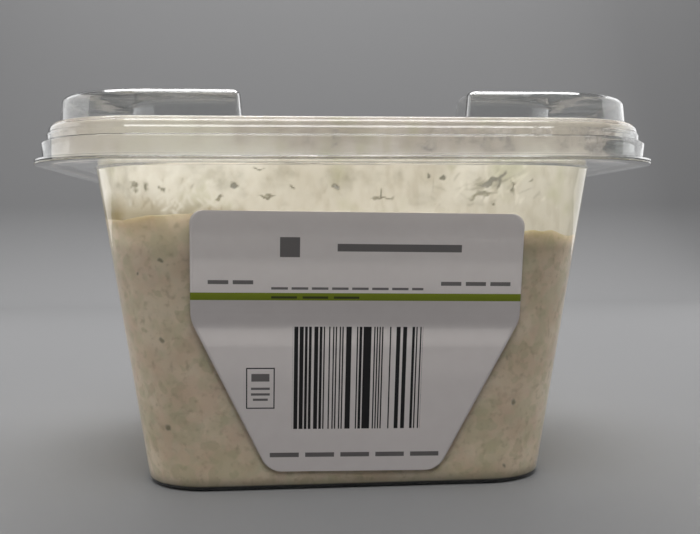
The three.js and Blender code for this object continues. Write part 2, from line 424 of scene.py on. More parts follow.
def makeTub():
    # One closed profile: up the outside, over the rim and down the inside to the floor. Each row is
    # half width, corner radius, height and cut.
    wall, shelf = tub["wall"], tub["shelf"]
    deck = shelf + tub["flange"]
    rimRadius = flange["radius"] - (flange["half"] - tub["rimHalf"])
    puntTop = tub["puntHalf"] - tub["puntRun"]
    outside = [
        (*poleRing, tub["puntRise"], 0),
        (puntTop, tub["puntRadius"], tub["puntRise"], 0.6),
        (tub["puntHalf"], tub["puntRadius"], 0, 0.6),
        (bodyHalf(0), bodyRadius(0), 0, tub["fillet"]),
        (bodyHalf(shelf), bodyRadius(shelf), shelf, 0.8),
        (flange["half"], flange["radius"], shelf, 0.2),
        (flange["half"], flange["radius"], deck, 0.2),
        (tub["rimHalf"], rimRadius, deck, 0.4),
        (tub["rimHalf"], rimRadius, tub["rimTop"], 0.28),
    ]
    inside = [
        (tub["rimHalf"] - wall, rimRadius - wall, tub["rimTop"], 0.28),
        (tub["rimHalf"] - wall, rimRadius - wall, deck, 0.8),
        (bodyHalf(deck) - wall, bodyRadius(deck) - wall, deck, 1.2),
        (bodyHalf(wall) - wall, bodyRadius(wall) - wall, wall, tub["fillet"] - wall),
        (tub["puntHalf"], tub["puntRadius"], wall, 0.6),
        (puntTop, tub["puntRadius"], tub["puntRise"] + wall, 0.6),
        (*poleRing, tub["puntRise"] + wall, 0),
    ]
    points, faces = loft(squareRings(refine(roundCorners(outside + inside), 6), sheetPath))
    shell = makeObject("tubShell", points, faces, clearSheet("clearPetTub", tub), 50)
    addPiece(shell, "tub")


makeTub()
print("tub formed")


lid = {
    "wall": 0.5,
    "bottom": 85.35,
    "skirtHalf": 77.9,
    "skirtTop": 89.9,
    "skirtTopHalf": 78.3,
    "step": 0.4,
    "beadHalf": 77,
    # the bead's face from its foot to the crest: set in from the bead, down from the crest, and cut
    "bead": ((0.2, 3.4, 0.3), (0.1, 3.05, 0.15), (0.45, 2.45, 0.15), (0.75, 1.2, 0.6)),
    "crestHalf": 74.3,
    "crest": 95.1,
    "panel": 91,
    "panelHalf": 70.4,
    "panelRadius": 22,
    "tint": "#edeeee",
    "haze": 0.01,
    "wave": 0.5,  # mm
}
lug = {
    "outerHalf": 74.3,
    "innerHalf": 56,
    "outerRadius": 25.2,
    "innerRadius": 18,
    "end": 26.6,  # from the middle of a side
    "tipRadius": 3,
    "top": 101.6,
    "topFillet": 1.6,
    "foot": 0.8,  # fillet where the lug leaves the panel
    "draft": 0.09,
}


def lidProfile(inset):
    # the skin from the flange up over the bead and down to the panel, set in by a distance; each
    # row is half width, corner radius, height and cut
    def row(half, z, cut):
        return (half - inset, flange["radius"] - (flange["half"] - half + inset), z, cut)

    edge, step, crest = lid["panelHalf"] + inset, lid["step"], lid["crest"]
    bead, skirtTop = lid["beadHalf"], lid["skirtTop"]
    return [
        row(lid["skirtHalf"], lid["bottom"] + lid["wall"], 0.5),
        row(lid["skirtTopHalf"], skirtTop, 0.3),
        row(lid["skirtTopHalf"] - step, skirtTop + step, 0.3),
        row(bead - 0.1, skirtTop + 1.5 * step, 0.3),
        *(row(bead - back, crest - down, cut) for back, down, cut in lid["bead"]),
        row(lid["crestHalf"] + 1, crest - 0.3 - inset, 0.5),
        row(lid["crestHalf"] + inset, crest - inset, 0.6),
        (edge + 2, lid["panelRadius"] + 2, crest - 1 - inset, 0.6),
        (edge + 0.6, lid["panelRadius"] + 0.6, lid["panel"] + 0.6 - inset, 0.4),
        (edge, lid["panelRadius"], lid["panel"] - inset, 0.4),
        (edge - 1, lid["panelRadius"] - 1, lid["panel"] - inset, 0.1),
        (*poleRing, lid["panel"] - inset, 0),
    ]


def lugRings(inset, height):
    # L-shaped loops at each inset and height, from six arcs: centre, first and last angle in
    # quarter turns, and radius
    inset = np.asarray(inset, float)[:, None]
    height = np.asarray(height, float)[:, None]
    outer, inner, end = lug["outerHalf"] - inset, lug["innerHalf"] + inset, lug["end"] + inset
    tip = np.maximum(lug["tipRadius"] - inset, 0.8)
    outerRadius, innerRadius = lug["outerRadius"] - inset, lug["innerRadius"] + inset
    arcs = [
        (end + tip, tip - outer, 2, 3, tip),
        (outer - outerRadius, outerRadius - outer, -1, 0, outerRadius),
        (outer - tip, -end - tip, 0, 1, tip),
        (inner + tip, -end - tip, 1, 2, tip),
        (inner - innerRadius, innerRadius - inner, 0, -1, innerRadius),
        (end + tip, -inner - tip, 1, 2, tip),
    ]
    loops = []
    for x, y, start, stop, radius in arcs:
        angle = (start + (stop - start) * np.linspace(0, 1, 11)) * quarter
        loops.append(np.stack([x + radius * np.cos(angle), y + radius * np.sin(angle)], -1))
    flat = np.concatenate(loops, 1)
    return np.concatenate([flat, np.broadcast_to(height[..., None], (*flat.shape[:2], 1))], -1)


def lugProfile(inset):
    # a concave foot, a drafted wall and a rounded top edge, as insets and heights
    panel = lid["panel"] - inset
    foot, head = lug["foot"] + inset, max(lug["topFillet"] - inset, 0.4)
    turn = np.linspace(0, quarter, 7)
    footInset = inset - foot * (1 - np.sin(turn))
    footRise = panel + foot * (1 - np.cos(turn))
    shoulder = lug["top"] - inset - head
    lean = inset + lug["draft"] * (shoulder - footRise[-1])
    headInset = lean + head * (1 - np.cos(turn))
    headRise = shoulder + head * np.sin(turn)
    insets = np.concatenate([footInset[:1], footInset, headInset])
    return insets, np.concatenate([[panel - 0.3], footRise, headRise])


def closedLugs(inset):
    # the four lugs as one mesh of closed bodies, each a quarter turn from the last
    rings = lugRings(*lugProfile(inset))
    rowCount, count = rings.shape[:2]
    sides, loop = ringFaces(rowCount, count), np.arange(count)
    points, quads, caps = [], [], []
    for k in range(4):
        c, s = math.cos(k * quarter), math.sin(k * quarter)
        points.append(rings.reshape(-1, 3) @ np.array([[c, s, 0], [-s, c, 0], [0, 0, 1]]))
        first = k * rowCount * count
        quads.append(sides + first)
        caps.extend([loop[::-1] + first, loop + first + (rowCount - 1) * count])
    return np.concatenate(points), [np.concatenate(quads), np.stack(caps)]


def boolean(target, operation, tool):
    # applies one boolean to the target's own mesh, and removes the tool
    change = target.modifiers.new(operation.lower(), "BOOLEAN")
    change.operation, change.object, change.solver = operation, tool, "EXACT"
    view = bpy.context.evaluated_depsgraph_get()
    target.data = bpy.data.meshes.new_from_object(target.evaluated_get(view))
    target.modifiers.clear()
    bpy.data.objects.remove(tool)


def lidBody(name, inset):
    # a closed body of the lid's skin with its four lugs, flat below
    start = (flange["half"], flange["radius"], lid["bottom"], 0)
    edge = (flange["half"], flange["radius"], lid["bottom"] + lid["wall"], 0.2)
    mouthHalf = lid["skirtHalf"] - lid["wall"]
    mouth = (mouthHalf, flange["radius"] - (flange["half"] - mouthHalf), lid["bottom"] - 1, 0)
    first = [start, edge] if inset == 0 else [mouth]
    rings = squareRings(refine(roundCorners(first + lidProfile(inset)), 8), sheetPath)
    body = makeObject(name, *loft(rings), None)
    boolean(body, "UNION", makeObject(name + "Lugs", *closedLugs(inset), None))
    return body


def flattenNormals(mesh):
    # points within 0.01 mm of the level skin of the panel and of the lugs' tops shade flat, up
    # outside and down inside; the others keep their own normals
    flat = np.empty(3 * len(mesh.vertices), np.float32)
    mesh.vertices.foreach_get("co", flat)
    x, y, z = flat.reshape(-1, 3).T / mm
    normals = np.zeros((len(mesh.vertices), 3))
    for level, half in ((lid["panel"], lid["panelHalf"]), (lug["top"], flange["half"])):
        for inset, up in ((0, 1), (lid["wall"], -1)):
            within = squareDepth(x, y, half + inset, lid["panelRadius"]) > -0.05
            normals[within & (abs(z - level + inset) < 0.01)] = (0, 0, up)
    corners = np.empty(len(mesh.loops), np.int32)
    mesh.loops.foreach_get("vertex_index", corners)
    mesh.normals_split_custom_set(normals[corners])


def makeLid():
    # the outer body less the same body set in by the wall
    shell = lidBody("lidShell", 0)
    boolean(shell, "DIFFERENCE", lidBody("lidHollow", lid["wall"]))
    shell.data.shade_smooth()
    shell.data.set_sharp_from_angle(angle=math.radians(40))
    flattenNormals(shell.data)
    shell.data.materials.clear()
    shell.data.materials.append(clearSheet("clearPetLid", lid))
    addPiece(shell, "lid")


makeLid()
print("lid formed")


salad = {
    "inset": 0.45,  # from the outside of the tub, so it reaches into the wall
    "level": 69.3,
    "fall": 0.041,  # lower to the right
    "swell": (-34, -64, 10, 1.6),  # x, y, width and height
    "bottom": 0.1,  # from the outside of the tub, at its foot
    "lumps": ((14, 1.3, 3), (6, 0.8, 4), (2.8, 0.5, 5)),  # size, height and seed
    "cream": "#faead5",
    "noises": {"blotch": (14, 2), "grain": (1.8, 3), "warp": (4, 2), "patch": (6, 2)},  # mm, detail
    "warp": 3,  # mm by which the bits are bent
    "bits": 2.6,  # mm
    "specks": 7.5,  # mm apart
    "speckChance": 0.34,
    "speckShare": 0.65,
    "fillBlotch": (0.1, 0.5),  # blotch values between which the brown band sets in
    "fillShare": 0.58,
    # tints over the cream, as rows for layered(), with heights in metres
    "tints": (
        ("blotch", 0.38, 0.64, 0, 0.6, "#e2ceb2"),
        ("leafyBit", 0.55, 0.85, 0, 0.45, "#d0c9a5"),
        ("paleBit", 0.6, 0.9, 0, 0.4, "#f2e6d0"),
        ("grain", 0.5, 0.8, 0, 0.5, "#b7a883"),
        ("rosyPatch", 0.5, 0.64, 0, 0.25, "#eccfba"),
        ("mossyPatch", 0.48, 0.62, 0, 0.32, "#d4d3ae"),
        ("fillHeight", 0.061, 0.0695, 0, "fillShare", "#ad9b70"),  # browner up to the fill line
        ("speck", 0.05, 0.13, "speckShare", 0, "#6f6a45"),
        ("height", 0.0012, 0.0042, 0.5, 0, "#6e6a4c"),  # darker where light no longer reaches in
        # painted contact shadow: near black in the lowest 1.1 to 1.7 mm
        ("height", 0.0011, 0.0017, 1, 0, "#060604"),
    ),
}


def topHeight(x, y):
    # a fall to the right, a swell at the front left and lumps of three sizes
    flat = np.stack([x, y, np.zeros_like(x)], -1)
    height = salad["level"] - salad["fall"] * x
    swellX, swellY, wide, tall = salad["swell"]
    height = height + tall * np.exp(-(((x - swellX) / wide) ** 2) - ((y - swellY) / wide) ** 2)
    for size, tall, seed in salad["lumps"]:
        height = height + tall * cloud(flat, size, seed)
    return height


def saladMaterial(name):
    # chopped cabbage in mayonnaise dressing, pressed against the wall: cream with soft darker and
    # greener bits of 2 to 4 mm, slow blotches, a browner band at the fill line and a few dark specks
    material, tree, place = newMaterial(name)
    noise = {
        kind: addNode(tree, "TexNoise", {"Scale": 1 / (size * mm), "Detail": detail, "Vector": place})
        for kind, (size, detail) in salad["noises"].items()
    }
    bent = addNode(tree, "VectorMath", {
        "operation": "MULTIPLY_ADD",
        0: noise["warp"].outputs["Color"],
        1: [salad["warp"] * mm] * 3,
        2: place,
    })
    bits = addNode(tree, "TexVoronoi", {
        "feature": "SMOOTH_F1",
        "Scale": 1 / (salad["bits"] * mm),
        "Smoothness": 0.7,
        "Vector": bent,
    })
    dots = addNode(tree, "TexVoronoi", {"Scale": 1 / (salad["specks"] * mm), "Vector": bent})
    bitTone, hue, dotTone = (
        addNode(tree, "SeparateColor", {0: source.outputs["Color"]})
        for source in (bits, noise["patch"], dots)
    )
    chosen = addNode(tree, "Math", {
        "operation": "GREATER_THAN", 0: dotTone, 1: 1 - salad["speckChance"],
    })
    axes = addNode(tree, "SeparateXYZ", {0: place})
    patterns = {
        "blotch": noise["blotch"],
        "leafyBit": bitTone.outputs[0],
        "paleBit": bitTone.outputs[1],
        "grain": noise["grain"],
        "rosyPatch": hue.outputs[0],
        "mossyPatch": hue.outputs[1],
        "height": axes.outputs[2],
        "fillHeight": addNode(tree, "Math", {
            "operation": "MULTIPLY_ADD", 0: axes.outputs[0], 1: salad["fall"], 2: axes.outputs[2],
        }),
        "fillShare": addNode(tree, "MapRange", {
            "interpolation_type": "SMOOTHSTEP",
            0: noise["blotch"],
            1: salad["fillBlotch"][0],
            2: salad["fillBlotch"][1],
            4: salad["fillShare"],
        }),
        "speck": dots,
        "speckShare": addNode(tree, "Math", {
            "operation": "MULTIPLY", 0: chosen, 1: salad["speckShare"],
        }),
    }
    relief = addNode(tree, "Bump", {"Strength": 0.12, "Distance": 0.4 * mm, "Height": bits})
    shader = addNode(tree, "BsdfPrincipled", {
        "Base Color": layered(tree, linear(salad["cream"]), patterns, salad["tints"]),
        "Roughness": 0.4,
        "IOR": 1.4,
        "Subsurface Weight": 0.6,
        "Subsurface Scale": 3 * mm,
        "Subsurface Radius": (1.0, 0.92, 0.75),
        "Normal": relief,
    })
    addNode(tree, "OutputMaterial", {"Surface": shader})
    return material


def makeCore():
    # the mass up to its uneven top: rings up the wall, then rings that close in over the top
    path = squarePath(26, 60)
    level, inset, bottom, fillet = salad["level"], salad["inset"], salad["bottom"], tub["fillet"]
    floor = tub["puntRise"] + inset
    rows = [(*poleRing, floor), (tub["puntHalf"] - tub["puntRun"], tub["puntRadius"], floor)]
    rows.append((tub["puntHalf"] + 0.4, tub["puntRadius"] + 0.4, bottom))
    for turn in np.linspace(0, quarter, 9):
        z = bottom + fillet * (1 - math.cos(turn))
        back = bottom + fillet * (1 - math.sin(turn))
        rows.append((bodyHalf(z) - back, bodyRadius(z) - back, z))
    for z in np.arange(5, 64, 2.0):  # the gap to the outside grows to the inset at 11 mm
        back = inset + (bottom - inset) * rise(z, 11, 3)
        rows.append((bodyHalf(z) - back, bodyRadius(z) - back, z))
    share = np.linspace(1, 0.02, 62)
    rim = squareRings([(bodyHalf(level) - inset, bodyRadius(level) - inset, 0)], path)[0]
    top = rim[None] * share[:, None, None]
    top[..., 2] = topHeight(top[..., 0], top[..., 1])
    lean = 1 + tub["draft"] * (top[0, :, 2:] - level) / (bodyHalf(level) - inset)
    top[0, :, :2] = top[0, :, :2] * lean
    points, faces = loft(np.concatenate([squareRings(rows, path), top]))
    core = makeObject("coleslawCore", points, faces, saladMaterial("choppedCabbageInDressing"))
    addPiece(core, "coleslaw")


makeCore()
print("coleslaw core filled")


# dressing smeared on the walls, inside the rim and under the lid
film = {
    "from": 4.0,  # mm below the fill line
    "to": 84.3,  # just under the flange
    "inset": 0.55,  # behind the core's skin
    "warm": (1, 0.97, 0.91),  # red, green and blue of the light that a wet layer lets on
    # least cover, share of lamplight let on, colour where it is thin (also the colour of the painted
    # shadows), and where it is thick
    "onWall": (0.6, 0.45, "#b3ac98", "#faf4e9"),
    "underLid": (0.0, 0.6, "#ddd3cb", "#f6eee7"),
    "dense": "#e8e0d1",
    "green": "#dad8ba",
    # painted shade: the smear turns darker and browner towards the fill line
    "fillShade": "#a99663",
    "bright": "#fffaf0",
    # smears along the inside of the rim, and places in them brightened as painted light: middle,
    # spread and height
    "rimHeaps": ((-52, 17, 1), (5, 40, 0.35)),
    "rimPaintedLight": ((-38, 19, 0.9), (47, 14, 1)),
    "rimLow": 88.2,  # height of a low smear all round
    "frontWall": -50,  # y before which a point counts as on the front
    "frontRim": -60,
    "gapWarp": 0.75,  # mm by which the gaps' outlines are ragged
    "gapDepth": 0.9,
    "strokeSeed": 46,
    # thin gaps on the front wall: x, z, half width, half height and slope in degrees
    "gaps": (
        (-53.7, 79.0, 0.7, 0.9, 0),
        (-50.6, 78.8, 0.5, 1.1, 0),
        (-46.5, 78.7, 0.8, 0.9, 20),
        (-29.3, 79.0, 0.95, 0.45, -20),
        (-32.8, 76.3, 0.7, 0.45, 50),
        (-23.2, 83.4, 1.2, 0.3, 0),
        (-21.3, 76.5, 1.5, 0.27, 0),
        (-14.9, 79.0, 0.5, 0.4, 0),
        (-4.5, 78.7, 0.8, 0.45, -35),
        (7.3, 76.0, 2.7, 0.45, 8),
        (7.0, 77.4, 0.35, 1.1, 0),
        (19.2, 81.4, 0.5, 0.5, 0),
        (22.5, 81.2, 0.8, 0.5, 40),
        (32.9, 76.9, 3.0, 0.55, 14),
        (34.3, 79.7, 2.6, 0.5, 28),
        (37.2, 80.8, 0.45, 1.9, -25),
        (40.6, 78.6, 0.4, 1.7, 8),
        (35.5, 73.9, 0.9, 0.5, 30),
        (45.0, 80.7, 1.1, 0.4, 50),
    ),
    # strokes in the smear: x, z, spread in x and z, slope, spread of slope, count, tone and size; a
    # tone above 0 is a pale strand, below 0 a painted shadow
    "strokes": (
        (-46, 77.5, 8, 2.6, 80, 25, 34, 0.8, 1),
        (-36, 76.5, 8, 2.2, 130, 20, 16, 0.8, 1),
        (-44, 77, 9, 2.4, 85, 20, 26, -0.6, 1),
        (-24, 78, 6, 2.5, 70, 40, 14, 0.7, 1),
        (36, 78.5, 4.5, 2.2, 35, 18, 22, -0.7, 1),
        (37, 78.5, 5, 2.6, 60, 25, 16, 0.8, 1),
        (0, 79.5, 26, 2.4, 90, 40, 26, 0.5, 1),
        (4, 79.5, 26, 2.4, 90, 40, 22, -0.4, 1),
        (-40, 78, 9, 2, 60, 40, 11, 0.7, 2.4),
        (-33, 79, 12, 2, 80, 50, 9, -0.5, 2.4),
    ),
}
filmPath = squarePath(60, 240)


def filmCover(points):
    # how thick the smear is, from 0 to 1: full at the fill line, thinner in ragged gaps above
    warp = [cloud(points, 1.7, seed) + 0.6 * cloud(points, 0.8, seed + 3) for seed in (24, 25)]
    x, y, z = np.moveaxis(points, -1, 0)
    level = salad["level"]
    cover = 0.86 + 0.2 * cloud(points, 7, 21) + 0.2 * cloud(points, 2.6, 22)
    cover = cover - 0.25 * rise(y, -60, -40) + rise(z, level + 5, level)
    x, z = x + film["gapWarp"] * warp[0], z + film["gapWarp"] * warp[1]
    for middleX, middleZ, wide, tall, slope in film["gaps"]:
        c, s = math.cos(math.radians(slope)), math.sin(math.radians(slope))
        dx, dz = x - middleX, z - middleZ
        away = np.hypot((c * dx + s * dz) / wide, (c * dz - s * dx) / tall)
        hole = np.clip(1.5 - away, 0, 0.9) * (y < film["frontWall"])
        cover = cover - film["gapDepth"] * hole
    return np.clip(cover, 0, 1)


def filmStrokes(points):
    # Pale strands as brighter strokes and painted shadows as darker strokes on the front wall: each
    # is a short bent line with a soft edge. They lie over a painted shade that darkens to the right,
    # and painted shade darkens the wall towards its side edges.
    tone = np.zeros(points.shape[:-1])
    front = points[..., 1] < film["frontWall"]
    x, z = points[front][:, 0], points[front][:, 2]
    drawn = np.zeros(len(x))
    rng = np.random.default_rng(film["strokeSeed"])
    for heapX, heapZ, wideX, wideZ, slope, spread, count, strength, scale in film["strokes"]:
        for _ in range(count):
            middleX, middleZ = rng.normal((heapX, heapZ), (wideX, wideZ))
            angle = math.radians(rng.normal(slope, spread))
            half, thick = scale * rng.uniform(0.8, 2.6), scale * rng.uniform(0.18, 0.42)
            bend = rng.uniform(-0.25, 0.25)
            c, s = math.cos(angle), math.sin(angle)
            along = c * (x - middleX) + s * (z - middleZ)
            across = c * (z - middleZ) - s * (x - middleX) - bend * (along ** 2) / half
            edge = np.exp(-((across / thick) ** 2)) * np.clip(2 * (1 - abs(along) / half), 0, 1)
            drawn = drawn + strength * rng.uniform(0.4, 1) * edge
    # painted light at the left, painted shade at the right and at the side edges
    tone[front] = drawn - 0.35 + 0.7 * rise(x, 50, -22)
    return np.clip(tone - 0.5 * rise(abs(points[..., 0]), 56, 60), -1, 1)


def filmFillShade(points):
    # painted shade, 0.9 at the fill line and 0 above it, over a band that is tall at the left and low
    # at the right
    x, z = points[..., 0], points[..., 2]
    left, right = rise(x, -15, -40), rise(x, 25, 45)
    tall = 0.35 + 4.5 * left + (0.1 + left) * cloud(points, 5, 61)
    line = salad["level"] - salad["fall"] * x + 0.2 + 0.6 * left - 1.1 * right
    return 0.9 * rise(z, line + tall, line)


def wetShader(tree, colour, finish, glow, share):
    # a glossy skin over a body that glows with light from behind, and lets on a share of lamplight
    skin = addNode(tree, "BsdfPrincipled", {"Base Color": colour, **finish})
    body = addNode(tree, "BsdfTranslucent", {"Color": colour})
    lit = addNode(tree, "MixShader", {0: glow, 1: skin, 2: body})
    return letLampsThrough(tree, lit, share, film["warm"])


def filmMaterial(name, least, share, thin, thick):
    # thin mayonnaise on clear sheet: light passes through and scatters; strands make it denser, drops
    # ragged and oil yellower, and it covers at least a share of the view
    material, tree, place = newMaterial(name)
    cover, stroke, fillShade = (
        addNode(tree, "Attribute", {"attribute_name": number}).outputs["Fac"]
        for number in ("cover", "stroke", "fillShade")
    )
    drawn = addNode(tree, "Mapping", {"Scale": (1, 1, 0.45), "Vector": place})  # strands run upright
    drops, strand, oil = (
        addNode(tree, "TexNoise", {"Scale": 1 / (size * mm), "Detail": detail, "Vector": where})
        for size, detail, where in ((1.6, 3, place), (2.8, 3, drawn), (11, 2, place))
    )
    ragged = addNode(tree, "Math", {"operation": "MULTIPLY_ADD", 0: drops, 1: 0.4, 2: cover})
    darker = addNode(tree, "Math", {"operation": "MULTIPLY", 0: stroke, 1: -0.8})
    patterns = {"strand": strand, "oil": oil, "fillShade": fillShade, "darker": darker, "brighter": stroke}
    patterns["ragged"] = ragged
    tints = (
        ("strand", 0.42, 0.68, 0, 0.7, film["dense"]),
        ("oil", 0.52, 0.72, 0, 0.6, film["green"]),
        # painted shade towards the fill line
        ("fillShade", film["fillShade"]),
        # below 0 a stroke paints shadow; above 0 it brightens: pale strands on the wall, painted
        # light on the rim
        ("darker", thin),
        ("brighter", film["bright"]),
        ("ragged", 0.3, 1.1, 1, 0, thin),
    )
    colour = layered(tree, linear(thick), patterns, tints)
    solid = addNode(tree, "MapRange", {
        "interpolation_type": "SMOOTHSTEP", 0: ragged, 1: 0.2, 2: 0.65, 3: least,
    })
    wet = wetShader(tree, colour, {"Roughness": 0.35}, 0.55, share)
    clear = addNode(tree, "BsdfTransparent", {})
    both = addNode(tree, "MixShader", {0: solid, 1: clear, 2: wet})
    addNode(tree, "OutputMaterial", {"Surface": both})
    return material


def addFilm(name, points, faces, material, numbers):
    # one smear as a piece of the coleslaw, with the numbers that its material reads
    sheet = makeObject(name, points.reshape(-1, 3), [faces], material)
    for number, values in numbers.items():
        setNumber(sheet, number, values)
    addPiece(sheet, "coleslaw")


def makeWallFilm(material):
    # a sheet that follows the wall from just below the fill line up to the flange
    level = salad["level"]
    low = squareRings([(bodyHalf(level), bodyRadius(level), level)], filmPath)[0]
    bottom = level - salad["fall"] * low[:, 0] - film["from"]
    share = np.linspace(0, 1, 56)[:, None]
    z = bottom * (1 - share) + film["to"] * share
    half, radius = bodyHalf(z) - film["inset"], bodyRadius(z) - film["inset"]
    walk, outward = filmPath
    flat = (half - radius)[..., None] * walk + radius[..., None] * outward
    rings = np.concatenate([flat, z[..., None]], -1)
    numbers = {"cover": filmCover(rings), "stroke": filmStrokes(rings), "fillShade": filmFillShade(rings)}
    addFilm("dressingOnWalls", rings, ringFaces(*rings.shape[:2]), material, numbers)


def makeRimFilm(material):
    # Smears just inside the upright rim, on over the crest and down to the panel: heaps along the
    # front, a low smear all round and an even cover under the crest.
    half, crest = tub["rimHalf"] - tub["wall"] + 0.1, lid["crest"]
    panel, skin = lid["panelHalf"] + lid["wall"], lid["wall"] - 0.1
    rows = [(half, z) for z in np.linspace(tub["shelf"] + 0.55, tub["rimTop"] - 1, 24)]
    rows += [
        (half, crest - 0.9),
        (lid["crestHalf"] + 0.5, crest - skin),
        (panel + 2.8, crest - skin),
        (panel + 1.9, crest - 1 - skin),
        (panel + 0.5, lid["panel"] + 0.7 - skin),
    ]
    inward = flange["radius"] - flange["half"]
    rows = np.array([(wide, inward + wide, z) for wide, z in rows])
    rings = squareRings(refine(rows, 0.6), filmPath)
    x, y, high = np.moveaxis(rings, -1, 0)
    noise = 0.5 * cloud(rings, 9, 51) + 0.35 * cloud(rings, 3.2, 52)
    front = y < film["frontRim"]
    heap = bells(x, film["rimHeaps"]) * front
    top = film["rimLow"] + 2.2 * cloud(rings, 5, 53)
    low = rise(high, top, top - 2) * np.where(front & (x < 42), 0.9, 0.3)
    cover = 0.95 * heap + 0.5 * low + noise * (0.25 + heap) - 0.12
    cover = cover + 0.42 * front * rise(x, 66, 54)
    crestCover = 0.62 + 0.3 * noise - 0.08 * (x > 40)
    cover = np.where(high > tub["rimTop"] - 0.5, crestCover, cover)
    numbers = {
        "cover": np.clip(cover, -0.3, 1),
        # painted light at the two bells along the front, with painted light and shade from the noise
        "stroke": (bells(x, film["rimPaintedLight"]) + 0.25 * noise) * front,
    }
    addFilm("dressingOnRim", rings, ringFaces(*rings.shape[:2]), material, numbers)


def makeLidFilm(material):
    # the same smear under the panel in patches, clear round the lugs and thin at the right
    line = np.linspace(-68, 68, 104)
    x, y = np.meshgrid(line, line)
    grid = np.stack([x, y, np.full_like(x, lid["panel"] - lid["wall"] + 0.1)], -1)
    far, near = np.maximum(abs(x), abs(y)), np.minimum(abs(x), abs(y))
    keep = ~((far > lug["innerHalf"] - 1.5) & (near > lug["end"] - 1.5))
    cover = 0.3 + 0.55 * cloud(grid, 15, 31) + 0.4 * cloud(grid, 6, 32) + 0.25 * cloud(grid, 2.5, 33)
    fromLug = np.hypot(np.maximum(lug["innerHalf"] - far, 0), np.maximum(lug["end"] - near, 0))
    cover = cover - 0.8 * rise(fromLug, 7, 0) - 0.6 * rise(x, 38, 52)
    cover = cover + 0.35 * (y < -55) * (near < lug["end"])
    faces = gridFaces(*x.shape)
    faces = faces[keep.ravel()[faces].all(1)]
    used, faces = np.unique(faces, return_inverse=True)
    numbers = {"cover": np.clip(cover.ravel()[used], 0, 1)}
    points = grid.reshape(-1, 3)[used]
    addFilm("dressingUnderLid", points, faces.reshape(-1, 4), material, numbers)


makeWallFilm(filmMaterial("dressingSmearedOnWall", *film["onWall"]))
smear = filmMaterial("dressingSmearedUnderLid", *film["underLid"])
makeRimFilm(smear)
makeLidFilm(smear)
print("dressing smeared")


# shreds and bits that lie over the core: sizes in mm, bend and steepness in radians
shredKinds = {
    "cabbageShreds": {
        "count": 420, "length": (7, 16), "width": (1.2, 2.4), "thick": (0.5, 0.9), "bend": 1.3,
        "lift": 0.5, "steep": 0.35, "seed": 41, "colour": "#efe8d3", "deep": "#d8d0a8",
    },
    "cabbageBits": {
        "count": 1500, "length": (3, 6), "width": (1.8, 3.6), "thick": (0.7, 1.2), "bend": 0.7,
        "lift": 0.3, "steep": 0.5, "seed": 42, "colour": "#f0e9d6", "deep": "#dcd3b0",
    },
    "greenBits": {
        "count": 130, "length": (3, 8), "width": (1.5, 3.0), "thick": (0.5, 0.8), "bend": 0.8,
        "lift": 0.5, "steep": 0.4, "seed": 43, "colour": "#ccd09a", "deep": "#a9b36c",
    },
}
shredGlow = 0.35  # share of light that a shred passes on
shredRings, shredSides = 7, 6  # sections along a strip, and points round each


def shredMaterial(name, kind):
    # raw white cabbage cut by blade and wet with dressing: pale, slightly see-through, glossy
    material, tree, place = newMaterial(name)
    tone = addNode(tree, "Attribute", {"attribute_name": "tone"}).outputs["Fac"]
    coat = addNode(tree, "TexNoise", {"Scale": 1 / (2.5 * mm), "Detail": 2, "Vector": place})
    mixed = addNode(tree, "Mix", {0: 0.4, 2: tone, 3: coat})
    colour = layered(tree, linear(kind["colour"]), {"mixed": mixed}, [("mixed", kind["deep"])])
    wet = wetShader(tree, colour, {"Roughness": 0.3, "IOR": 1.4}, shredGlow, shredGlow)
    addNode(tree, "OutputMaterial", {"Surface": wet})
    return material


def shredPoints(size, place, direction, normal):
    # a strip bent into an arc, with a flattened six-sided section that narrows at both ends
    length, width, thick, bend = (v[:, None] for v in size)
    s = np.linspace(-0.5, 0.5, shredRings)[None]
    along = length * np.sin(bend * s) / bend
    sag = length * (1 - np.cos(bend * s)) / bend
    taper = 1 - 0.75 * (2 * s) ** 4
    angle = np.arange(shredSides) / shredSides * 2 * math.pi
    across = (0.5 * width * taper)[..., None] * np.cos(angle)
    up = (0.5 * thick * taper)[..., None] * np.sin(angle) - sag[..., None]
    offsets = np.stack(np.broadcast_arrays(along[..., None], across, up), -1)
    axes = np.stack([direction, np.cross(normal, direction), normal], 1)
    return place[:, None, None] + offsets @ axes[:, None]


def shredFaces(count):
    # quads along each strip, and a six-sided face at each of its ends
    shift = (np.arange(count) * shredRings * shredSides)[:, None, None]
    quads = (ringFaces(shredRings, shredSides) + shift).reshape(-1, 4)
    loop = np.arange(shredSides)
    ends = np.stack([loop[::-1], loop + (shredRings - 1) * shredSides])
    return [quads, (ends + shift).reshape(-1, shredSides)]


def unit(v):
    # each vector scaled to a length of 1
    return v / np.linalg.norm(v, axis=-1, keepdims=True)


def shredMesh(name, kind, rng, place, direction, normal):
    # all strips of a kind as one mesh, each with its own size, bend and tone
    count = len(place)
    size = [rng.uniform(*kind[key], count) for key in ("length", "width", "thick")]
    size.append(rng.uniform(0.15, 1, count) * kind["bend"])
    points = shredPoints(size, place, direction, normal).reshape(-1, 3)
    piece = makeObject(name, points, shredFaces(count), shredMaterial(name + "Skin", kind))
    setNumber(piece, "tone", np.repeat(rng.uniform(0, 1, count), shredRings * shredSides))
    addPiece(piece, "coleslaw")


